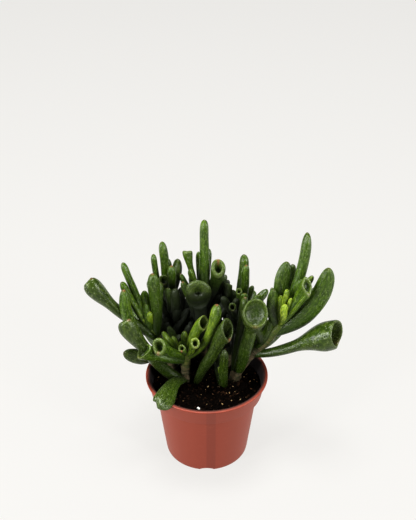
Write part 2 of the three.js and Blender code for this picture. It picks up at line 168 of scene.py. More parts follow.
class Paint:
    """A material being made: its node tree and its Principled shader."""

    def __init__(self, name, constants):
        self.material = bpy.data.materials.new(name)
        self.material.use_nodes = True
        self.tree = self.material.node_tree
        self.shader = self.tree.nodes["Principled BSDF"]
        for socket, value in constants.items():
            self.feed(self.shader.inputs[socket], value)

    def feed(self, socket, value):
        if isinstance(value, Socket):
            self.tree.links.new(value.output, socket)
        elif socket.type == "RGBA":
            socket.default_value = (*value[:3], 1)
        else:
            socket.default_value = value

    def node(self, kind, settings, inputs, output=0):
        """Adds a node, with its settings first and its sockets after, and returns one output."""
        made = self.tree.nodes.new("ShaderNode" + kind)
        for name, value in settings.items():
            if name == "stops":
                self.set_stops(made.color_ramp, value)
            else:
                setattr(made, name, value)
        for name, value in inputs.items():
            self.feed(made.inputs[name], value)
        return Socket(self, made.outputs[output])

    @staticmethod
    def set_stops(ramp, stops):
        while len(ramp.elements) < len(stops):
            ramp.elements.new(1)
        for element, (place, colour) in zip(ramp.elements, stops):
            element.position = place
            element.color = (*colour, 1)

    def maths(self, operation, *values):
        return self.node("Math", {"operation": operation}, dict(enumerate(values)))

    def attribute(self, name, output="Fac"):
        return self.node("Attribute", {"attribute_name": name}, {}, output)

    def place(self):
        return self.node("TexCoord", {}, {}, "Object")

    def axis(self, vector, index):
        return self.node("SeparateXYZ", {}, {0: vector}, index)

    def stretch(self, vector, scale):
        """A pattern's place, stretched by a scale on each axis."""
        return self.node("VectorMath", {"operation": "MULTIPLY"}, {0: vector, 1: scale})

    def clouds(self, vector, scale, detail=2.0):
        return self.node("TexNoise", {}, {"Vector": vector, "Scale": scale, "Detail": detail}, "Fac")

    def cells(self, vector, scale):
        """Distance from the middle of the nearest of many scattered dots."""
        return self.node("TexVoronoi", {}, {"Vector": vector, "Scale": scale}, "Distance")

    def between(self, value, low, high):
        """0 below low and 1 above high, with a smooth step between them."""
        return self.node("MapRange", {"interpolation_type": "SMOOTHSTEP"},
                         {"Value": value, "From Min": low, "From Max": high})

    def blend(self, factor, low, high, mode="MIX"):
        return self.node("Mix", {"data_type": "RGBA", "blend_type": mode}, {0: factor, 6: low, 7: high}, 2)

    def bump(self, height, distance, strength=1.0):
        return self.node("Bump", {}, {"Height": height, "Distance": distance, "Strength": strength})

    def finish(self, colour, roughness, normal=None):
        self.feed(self.shader.inputs["Base Color"], colour)
        self.feed(self.shader.inputs["Roughness"], roughness)
        if normal:
            self.feed(self.shader.inputs["Normal"], normal)
        return self.material


# What a leaf's skin reads from its corners, and the heart of the plant in metres, which is painted in shade
MARKS = ("age", "along", "rim", "blush", "cup", "bark")
INNER_MIDDLE = (-0.002, 0.026, 0.096)
INNER_SHAPE = (1 / 0.042, 1 / 0.029, 1 / 0.046)
TENDER_GREEN = (0.27, 0.34, 0.04)
# The next two greens are painted shade: for the heart of the plant, and for leaves whose age lies past OLD
HEART_SHADE_GREEN = (0.003, 0.005, 0.001)
DEEP_SHADE_GREEN = (0.008, 0.013, 0.003)
OLD_BARK = (0.030, 0.034, 0.010)


def leaf_skin(look):
    """Satin succulent skin: green by age, pale dots, lengthwise streaks, a pale lip with a blush, and
    painted shade at leaf bases, in cups, on undersides and in the heart of the plant.
    """
    paint = Paint("leaf_skin", {"IOR": 1.40, "Specular IOR Level": 0.6, "Sheen Weight": 0.03,
                                "Sheen Roughness": 0.3})
    skin = paint.attribute("skin", "Vector")
    age, along, rim, blush, cup, bark = (paint.attribute(name) for name in MARKS)

    patches = paint.clouds(skin, 0.15, 3)
    streaks = paint.clouds(paint.stretch(skin, (1, 1, 0.10)), 0.8, 3)
    mottle = paint.clouds(paint.stretch(skin, (1, 1, 0.4)), 0.8, 2)
    dots = 1 - paint.between(paint.cells(paint.stretch(skin, (1, 1, 0.6)), 0.95), 0.10, 0.34)
    grain = paint.clouds(skin, 1.6, 3)

    ripeness = age + (patches - 0.5) * 0.45 + (along - 0.6) * 0.2
    green = paint.blend(paint.between(ripeness, -0.05, 0.5), look.young, look.grown)
    green = paint.blend(paint.between(ripeness, -0.45, -0.05), TENDER_GREEN, green)
    green = paint.blend(paint.between(ripeness, 0.5, 1.0), green, look.old)
    # The dark copy serves the real streaks, and the painted shade at leaf bases and in cups
    dark_streak_and_shade = paint.blend(1.0, green, (0.25, 0.33, 0.22), "MULTIPLY")
    light = paint.blend(1.0, green, (2.1, 1.8, 2.4), "MULTIPLY")
    green = paint.blend(paint.between(streaks, 0.57, 0.38) * 0.62, green, dark_streak_and_shade)
    green = paint.blend(paint.between(mottle, 0.46, 0.68) * 0.65, green, light)
    green = paint.blend(dots * paint.between(patches, 0.26, 0.56) * 0.6, green, look.dots)
    # Painted shade: each leaf darkens towards its base, where the bush shades it
    green = paint.blend((1 - paint.between(along, 0.1, 0.75)) * 0.6, green, dark_streak_and_shade)
    # Painted shade deep inside a trumpet's cup
    green = paint.blend(paint.between(cup, 0.25, 1) * 0.75, green, dark_streak_and_shade)
    green = paint.blend(rim * 0.55, green, look.rim)
    green = paint.blend(blush, green, look.blush)

    # Painted shade: leaves turn near black in the heart of the plant, round INNER_MIDDLE
    offset = paint.node("VectorMath", {"operation": "SUBTRACT"}, {0: paint.place(), 1: INNER_MIDDLE})
    depth = paint.node("VectorMath", {"operation": "LENGTH"}, {0: paint.stretch(offset, INNER_SHAPE)}, 1)
    shaded = 1 - paint.between(depth, 0.5, 1.2)
    green = paint.blend(shaded * 0.95, green, HEART_SHADE_GREEN)
    # Painted shade: an age past OLD darkens a leaf to near black
    green = paint.blend(paint.between(age, OLD, DARK) * 0.8, green, DEEP_SHADE_GREEN)

    scars = paint.clouds(paint.stretch(skin, (0.25, 0.25, 1)), 0.9, 3)
    wood = paint.blend(paint.between(scars, 0.40, 0.62), look.bark, OLD_BARK)
    colour = paint.blend(bark, green, wood)

    roughness = 0.15 + patches * 0.12 + mottle * 0.12 + bark * 0.4 + shaded * 0.4
    relief = streaks * 0.7 + mottle * 0.7 + grain * 0.4 + dots * 0.2 + bark * scars
    return paint.finish(colour, roughness, paint.bump(relief, 0.0006, 0.7))


# The darker strip on the pot's front runs between these widths, in metres, with soft edges
STRIP_LEFT = -0.0006
STRIP_RIGHT = 0.0068
STRIP_SOFTNESS = 0.0008


def pot_plastic(look):
    """Moulded satin plastic with faint flow marks, scuffs, and inside the wall a soil stain with painted
    shade, darker from just under the rim down.
    """
    paint = Paint("pot_plastic", {"IOR": 1.48})
    place = paint.place()
    flow = paint.clouds(paint.stretch(place, (1, 1, 0.12)), 60, 3)
    scuffs = paint.between(paint.clouds(paint.stretch(place, (1, 1, 5)), 120, 4), 0.58, 0.74)
    grain = paint.clouds(place, 900, 2)
    inner = paint.attribute("inner")
    across, along, height = (paint.axis(place, index) for index in range(3))

    worn = paint.blend(flow * 0.5, look.colour, (0.19, 0.034, 0.016))
    front = 1 - paint.between(along, -0.02, 0)
    strip = (paint.between(across, STRIP_LEFT, STRIP_LEFT + STRIP_SOFTNESS)
             - paint.between(across, STRIP_RIGHT - STRIP_SOFTNESS, STRIP_RIGHT))
    worn = paint.blend(strip * front * 0.35, worn, (0.13, 0.024, 0.012))
    worn = paint.blend(scuffs * 0.18, worn, (0.36, 0.13, 0.085))
    # Inside the wall: soil stain and painted shade, darker from just under the rim down
    depth = 1 - paint.between(height + (flow - 0.5) * 0.004, 0.064, 0.0672)
    stained_and_shaded = paint.blend(depth, (0.020, 0.005, 0.003), look.stain_and_shade)
    colour = paint.blend(inner, worn, stained_and_shaded)
    roughness = 0.40 + flow * 0.08 + scuffs * 0.12 + inner * 0.5
    return paint.finish(colour, roughness, paint.bump(flow * 0.5 + grain * 0.12, 0.0003, 0.35))


def peat(look):
    """Damp peat: nearly black, with browner fibres and a wet sheen in places."""
    paint = Paint("peat", {"IOR": 1.35, "Specular IOR Level": 0.05})
    place = paint.place()
    clods = paint.clouds(place, 260, 5)
    fibres = paint.clouds(paint.stretch(place, (1, 4, 1)), 700, 3)
    tint = paint.attribute("tint")
    brown = paint.blend(paint.between(fibres, 0.45, 0.75) * 0.6, look.colour, (0.010, 0.005, 0.003))
    colour = paint.blend(tint, brown, (0.045, 0.022, 0.011))
    return paint.finish(colour, 0.8 + clods * 0.2, paint.bump(clods + fibres * 0.4, 0.0008))


def grain_stone():
    """The pale and tan bits in the soil, coloured by their own tint."""
    paint = Paint("grain_stone", {"IOR": 1.45})
    place = paint.place()
    rough = paint.clouds(place, 1600, 3)
    tint = paint.attribute("tint")
    ramp = {"stops": [(0.0, (0.10, 0.035, 0.018)), (0.4, (0.30, 0.17, 0.06)),
                      (0.7, (0.48, 0.36, 0.18)), (1.0, (0.85, 0.84, 0.80))]}
    colour = paint.node("ValToRGB", ramp, {0: tint + (rough - 0.5) * 0.3})
    return paint.finish(colour, 0.6 + rough * 0.2, paint.bump(rough, 0.0003))


def studio_floor(look):
    """A matt pale sheet, lit from under itself as on a light table, with the faintest mottle."""
    paint = Paint("studio_floor", {"Specular IOR Level": 0.05, "Emission Color": look.floor,
                                   "Emission Strength": look.glow})
    mottle = paint.clouds(paint.place(), 2.0, 2)
    shade = tuple(part * 0.97 for part in look.floor)
    return paint.finish(paint.blend(mottle, look.floor, shade), 0.9)


# Mesh helpers

def make_object(bm, name, scale=1.0):
    """Turns a bmesh into an object at the origin."""
    bmesh.ops.scale(bm, vec=(scale, scale, scale), verts=bm.verts)
    mesh = bpy.data.meshes.new(name)
    bm.to_mesh(mesh)
    bm.free()
    made = bpy.data.objects.new(name, mesh)
    bpy.context.scene.collection.objects.link(made)
    return made


def finish_piece(bm, name, material, replaced=()):
    """Turns a bmesh in millimetres into a piece in metres that rides on the object."""
    bmesh.ops.recalc_face_normals(bm, faces=bm.faces)
    piece = make_object(bm, name, MM)
    piece.data.materials.append(material)
    piece.data.shade_smooth()
    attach(piece, "root")
    if replaced:
        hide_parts(*replaced)
    return piece


def turn_outline(bm, outline, steps):
    """Spins [radius, height] corners about Z into a closed body."""
    corners = [bm.verts.new((radius, 0, height)) for radius, height in outline]
    edges = [bm.edges.new(pair) for pair in zip(corners, corners[1:])]
    bmesh.ops.spin(bm, geom=corners + edges, cent=(0, 0, 0), axis=(0, 0, 1),
                   angle=2 * math.pi, steps=steps, use_merge=True)
    bmesh.ops.remove_doubles(bm, verts=bm.verts, dist=0.0005)
    bmesh.ops.recalc_face_normals(bm, faces=bm.faces)


def add_to(whole, part):
    """Adds a small bmesh to a larger one with the same layers, and frees the small one."""
    mesh = bpy.data.meshes.new("part")
    part.to_mesh(mesh)
    part.free()
    whole.from_mesh(mesh)
    bpy.data.meshes.remove(mesh)


def smoothstep(value, low, high):
    share = min(max((value - low) / (high - low), 0), 1)
    return share * share * (3 - 2 * share)


def lerp(low, high, share):
    return low + (high - low) * share


# Pot

NOTCH_COUNT = 4
NOTCH_WIDTH = 11.3
NOTCH_HEIGHT = 2.0
DRAIN_COUNT = 8
DRAIN_RADIUS = 2.8
DRAIN_CIRCLE = 20
CUTTER_LENGTH = 8
FLOOR_RECESS = 2.8
PAD_RADIUS = 7
LIP_THICKNESS = 1.4
BAND_LOW = 41.2
BAND_HIGH = 43.4
SHOULDER_DROP = 0.8
FOOT_THICKNESS = 1.7
DRAFT = 0.3
EDGE_ROUNDING = 0.35


def pot_outline(pot):
    """The pot's section, from the middle of its underside out, up and down the inside."""
    foot, shoulder = pot.foot_radius, pot.shoulder_radius
    band_bottom = POT_HEIGHT - pot.band_height
    band_inside = band_bottom + pot.wall
    lip_bottom = POT_HEIGHT - LIP_THICKNESS
    floor_top = FLOOR_RECESS + pot.wall
    return [
        (0, 0), (PAD_RADIUS, 0), (PAD_RADIUS + DRAFT, FLOOR_RECESS),
        (foot - FOOT_THICKNESS - 0.4, FLOOR_RECESS), (foot - FOOT_THICKNESS, 0), (foot - DRAFT, 0),
        (foot + 0.2, FLOOR_RECESS),
        (shoulder, band_bottom - SHOULDER_DROP), (shoulder + 0.6, band_bottom - 0.1),
        (BAND_LOW, band_bottom), (BAND_HIGH, lip_bottom - DRAFT),
        (RIM_RADIUS, lip_bottom), (RIM_RADIUS, POT_HEIGHT), (BAND_HIGH - pot.wall, POT_HEIGHT),
        (BAND_LOW - pot.wall, band_inside + DRAFT),
        (shoulder - pot.wall, band_inside - SHOULDER_DROP),
        (foot + 0.4 - pot.wall, floor_top + 1), (foot - 0.2 - pot.wall, floor_top), (0, floor_top),
    ]


def cutter_of_openings(pot):
    """Lying bars for the arched notches of the foot and upright bars for the drain holes."""
    bm = bmesh.new()
    arch = (NOTCH_WIDTH ** 2 / 4 + NOTCH_HEIGHT ** 2) / (2 * NOTCH_HEIGHT)
    for index in range(NOTCH_COUNT):
        turn = Matrix.Rotation(index * 2 * math.pi / NOTCH_COUNT - math.pi / 2, 4, "Z")
        place = Matrix.Translation((pot.foot_radius, 0, NOTCH_HEIGHT - arch))
        lay = Matrix.Rotation(math.pi / 2, 4, "Y")
        bmesh.ops.create_cone(bm, cap_ends=True, segments=96, radius1=arch, radius2=arch,
                              depth=CUTTER_LENGTH, matrix=turn @ place @ lay)
    for index in range(DRAIN_COUNT):
        turn = Matrix.Rotation((index + 0.5) * 2 * math.pi / DRAIN_COUNT, 4, "Z")
        stand = Matrix.Translation((DRAIN_CIRCLE, 0, FLOOR_RECESS + pot.wall / 2))
        bmesh.ops.create_cone(bm, cap_ends=True, segments=32, radius1=DRAIN_RADIUS,
                              radius2=DRAIN_RADIUS, depth=CUTTER_LENGTH, matrix=turn @ stand)
    return make_object(bm, "openings", MM)


def carve(piece, cutter):
    """Cuts the cutter out of the piece's mesh and removes the cutter."""
    cut = piece.modifiers.new("openings", "BOOLEAN")
    cut.operation = "DIFFERENCE"
    cut.solver = "EXACT"
    cut.object = cutter
    bpy.context.view_layer.update()
    seen = piece.evaluated_get(bpy.context.evaluated_depsgraph_get())
    carved = bpy.data.meshes.new_from_object(seen)
    piece.modifiers.clear()
    piece.data = carved
    bpy.data.objects.remove(cutter)


def mark_inner_wall(mesh):
    """Marks the corners that face the soil, which the plastic's soil stain and painted shade read."""
    inner = mesh.attributes.new("inner", "FLOAT", "POINT")
    for vert, normal, mark in zip(mesh.vertices, mesh.vertex_normals, inner.data):
        inward = Vector(vert.co.xy).dot(Vector(normal.vector.xy)) < 0
        mark.value = float(inward and vert.co.z > FLOOR_RECESS * MM * 1.2)


class JADE_OT_pot(bpy.types.Operator):
    """Makes the plastic pot"""
    bl_idname = "trumpet_jade.pot"
    bl_label = "Pot"

    def execute(self, context):
        pot = context.scene.trumpet_jade_pot
        bm = bmesh.new()
        turn_outline(bm, pot_outline(pot), pot.steps)
        sharp = [edge for edge in bm.edges
                 if len(edge.link_faces) == 2 and edge.calc_face_angle() > math.radians(24)]
        bmesh.ops.bevel(bm, geom=sharp, offset=EDGE_ROUNDING, offset_type="OFFSET", segments=3,
                        profile=0.5, affect="EDGES", material=-1, clamp_overlap=True)
        piece = finish_piece(bm, "nursery_pot", pot_plastic(pot), ["pot"])
        carve(piece, cutter_of_openings(pot))
        mark_inner_wall(piece.data)
        piece.data.shade_smooth()
        piece.data.set_sharp_from_angle(angle=math.radians(38))
        return {"FINISHED"}


# Soil

SOIL_EDGE = 40.2
SOIL_RINGS = 44
SOIL_SECTION = [(0, 4.5), (29, 4.5), (35.9, 52), (35.9, 54.6), (39.3, 55.2)]
SOIL_SEED = 11
CRUMBS_AT_ONCE = 30
CRUMB_WIDTHS = (0.35, 1.2)
SMALL_GRAINS = 60
GRAIN_WIDTHS = (0.25, 0.6)
WHITE_GRAIN = (-5.9, -28.6)
TAN_BITS = [(8.6, -4.9), (19.6, -4), (18, -20.5), (11.3, -24.1), (24.3, -18.1), (32.2, 1.4), (27.6, 5.4),
            (30.1, 9.8), (0.9, -4.4), (16.5, -12), (-36.5, 8)]
RED_CHIPS = [(37.4, 1.9), (33, -6), (22, -13), (4.6, -12)]


def soil_height(soil, x, y):
    """Height of the soil's surface: broad waves, clods and crumbs."""
    broad = math.sin(x * 0.23 + 1.1) * math.cos(y * 0.19 - 0.4)
    fine = math.sin(x * 0.61 - y * 0.47) * 0.5
    clods = noise.noise(Vector((x * 0.22, y * 0.22, 3.7))) * 1.1
    crumbs = noise.noise(Vector((x * 0.75, y * 0.75, 9.1))) * 0.7
    return soil.top + soil.relief * (broad + fine) + clods + crumbs


class JADE_OT_soil(bpy.types.Operator):
    """Makes the body of soil with its uneven top"""
    bl_idname = "trumpet_jade.soil"
    bl_label = "Soil"

    def execute(self, context):
        soil = context.scene.trumpet_jade_soil
        surface = [(SOIL_EDGE * ring / SOIL_RINGS, soil.top) for ring in range(SOIL_RINGS, -1, -1)]
        bm = bmesh.new()
        turn_outline(bm, SOIL_SECTION + surface, soil.steps)
        tint = bm.verts.layers.float.new("tint")
        for vert in bm.verts:
            vert[tint] = 0
            if vert.co.z > soil.top - 0.1:
                vert.co.z = soil_height(soil, vert.co.x, vert.co.y)
        finish_piece(bm, "soil_body", peat(soil), ["soil"])
        return {"FINISHED"}


def add_lump(bm, tint_layer, place, size, tint, rng, rounds=1, jag=0.3):
    """One rough lump of soil: a small ball, stretched, turned and made uneven."""
    turn = Quaternion((rng.gauss(0, 1), rng.gauss(0, 1), rng.gauss(0, 1)), rng.uniform(0, math.pi))
    made = bmesh.ops.create_icosphere(bm, subdivisions=rounds, radius=1)["verts"]
    for vert in made:
        vert.co *= 1 + rng.uniform(-jag, jag)
        vert.co = Vector((vert.co.x * size[0], vert.co.y * size[1], vert.co.z * size[2]))
        vert.co.rotate(turn)
        vert.co += Vector(place)
        vert[tint_layer] = tint


class JADE_OT_soil_pieces(bpy.types.Operator):
    """Makes the loose crumbs of peat and the pale and tan bits that lie on the soil"""
    bl_idname = "trumpet_jade.soil_pieces"
    bl_label = "Crumbs and grains"

    def execute(self, context):
        soil = context.scene.trumpet_jade_soil
        rng = random.Random(SOIL_SEED)
        bm = bmesh.new()
        bm.verts.layers.float.new("tint")
        for done in range(0, soil.crumbs, CRUMBS_AT_ONCE):
            some = bmesh.new()
            tint = some.verts.layers.float.new("tint")
            for _ in range(min(CRUMBS_AT_ONCE, soil.crumbs - done)):
                reach = (SOIL_EDGE - 1.4) * math.sqrt(rng.random())
                angle = rng.uniform(0, 2 * math.pi)
                x, y = reach * math.cos(angle), reach * math.sin(angle)
                width = rng.uniform(*CRUMB_WIDTHS)
                size = (width, width * rng.uniform(0.5, 1), width * rng.uniform(0.5, 0.9))
                place = (x, y, soil_height(soil, x, y) + width * 0.15)
                add_lump(some, tint, place, size, rng.random() ** 3 * 0.8, rng)
            add_to(bm, some)
        finish_piece(bm, "soil_crumbs", peat(soil))

        bm = bmesh.new()
        tint = bm.verts.layers.float.new("tint")
        bits = [(WHITE_GRAIN, (1.0, 0.75, 1.3), 1.0)]
        bits += [(spot, (0.9, 0.55, 0.4), rng.uniform(0.45, 0.75)) for spot in TAN_BITS]
        bits += [(spot, (1.3, 0.4, 0.3), 0.1) for spot in RED_CHIPS]
        for _ in range(SMALL_GRAINS):
            reach = (SOIL_EDGE - 2) * math.sqrt(rng.random())
            angle = rng.uniform(0, 2 * math.pi)
            width = rng.uniform(*GRAIN_WIDTHS)
            spot = (reach * math.cos(angle), reach * math.sin(angle))
            bits.append((spot, (width, width * 0.6, width * 0.5), rng.uniform(0, 0.75)))
        for (x, y), size, colour in bits:
            place = (x, y, soil_height(soil, x, y) + size[2] * 0.4)
            add_lump(bm, tint, place, size, colour, rng, 2, 0.14)
        finish_piece(bm, "soil_grains", grain_stone())
        return {"FINISHED"}


# Leaves

OLD = 1.0
YOUNG = 0.14
TENDER = -0.3
# An age past OLD is painted shade, and DARK is the one given to shaded leaves inside the plant
DARK = 1.5
FORWARD = (-90, 0)


@dataclass
class Leaf:
    """One leaf. It grows from a share of the stem's length to its tip. bend is how far its middle
    stands off the straight line. look is where its broad side or its mouth faces: degrees round
    from +X towards +Y, then degrees of lift. thick and tall are depth over width, of the body and
    of the mouth. base is the width at the root, and club the width low down, over the width near
    the end. blunt is the length of a finger's rounded end over its width. bulb is how far the head
    swells past the mouth, rim the lip's thickness over the mouth's width, deep the cup's depth over
    it, pull how far the seam draws the lip back and point how far it stretches the mouth. flare and
    full are where the mouth begins to open and where it is open. notch is the depth of a dent in a
    spoon's end, and side where it is, from -1 to 1. age runs from young to old, and past OLD it is
    painted shade. under is how much painted shade darkens the underside, blush is how red its tip
    or its lip is, and red where on the lip. start is where the leaf begins, if not on the stem."""
    at: float
    tip: tuple
    width: float
    age: float
    mouth: float = 0
    look: tuple = None
    bend: tuple = (0, 0, -2)
    thick: float = 0.9
    tall: float = 1
    base: float = 0.66
    club: float = 1
    blunt: float = 0.62
    flare: float = 0.62
    full: float = 1
    notch: float = 0
    side: float = 0
    bulb: float = 0
    rim: float = 0.085
    deep: float = 0.45
    pull: float = 0.08
    point: float = 0.12
    seam: float = -90
    under: float = 0.12
    blush: float = 0.15
    red: float = None
    start: tuple = None


def finger(at, tip, width, age, **more):
    return Leaf(at, tip, width, age, **{"blunt": 1, **more})


# A finger inside the plant, darkened as painted shade by an age past OLD
def shaded(at, tip, width, **more):
    return finger(at, tip, width, DARK, **more)


def spoon(at, tip, width, age, **more):
    return Leaf(at, tip, width, age, **{"look": FORWARD, "thick": 0.55, "blunt": 1, **more})


def trumpet(at, tip, width, mouth, look, age, **more):
    return Leaf(at, tip, width, age, mouth, look, **{"thick": 0.95, "base": 0.62, **more})


@dataclass
class Shoot:
    """The points of a stem, its radii at both ends, how many inner leaves it has besides, and its
    own leaves."""
    stem: list
    radii: tuple
    inner: int
    leaves: list


